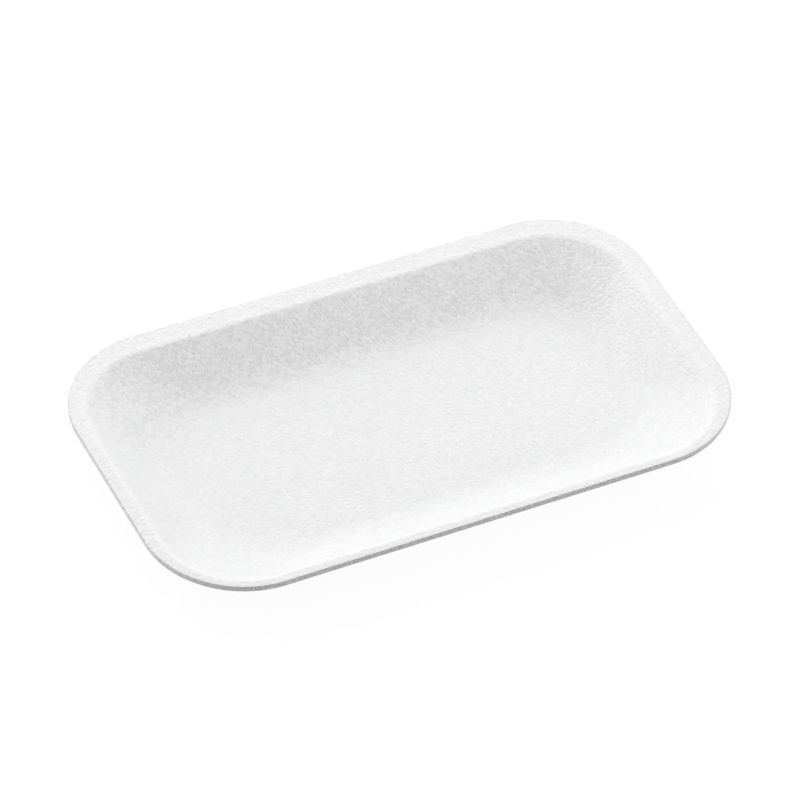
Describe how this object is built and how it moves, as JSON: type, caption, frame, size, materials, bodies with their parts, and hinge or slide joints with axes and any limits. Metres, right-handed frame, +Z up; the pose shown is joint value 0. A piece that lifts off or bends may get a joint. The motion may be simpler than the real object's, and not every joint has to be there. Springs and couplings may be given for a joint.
{
  "type": "food tray",
  "caption": "Shallow rectangular foam food tray with rounded corners, sloping walls and a narrow rim.",
  "frame": {"origin": "middle of the underside of the flat base, on the surface that the tray stands on", "axes": "+X along the length, +Y across the width, +Z up out of the tray's mouth"},
  "size_m": [0.225, 0.135, 0.018],
  "materials": {
    "foam": "matt white foam with fine closed cells"
  },
  "bodies": {
    "root": {"tray": "foam"}
  },
  "joints": []
}
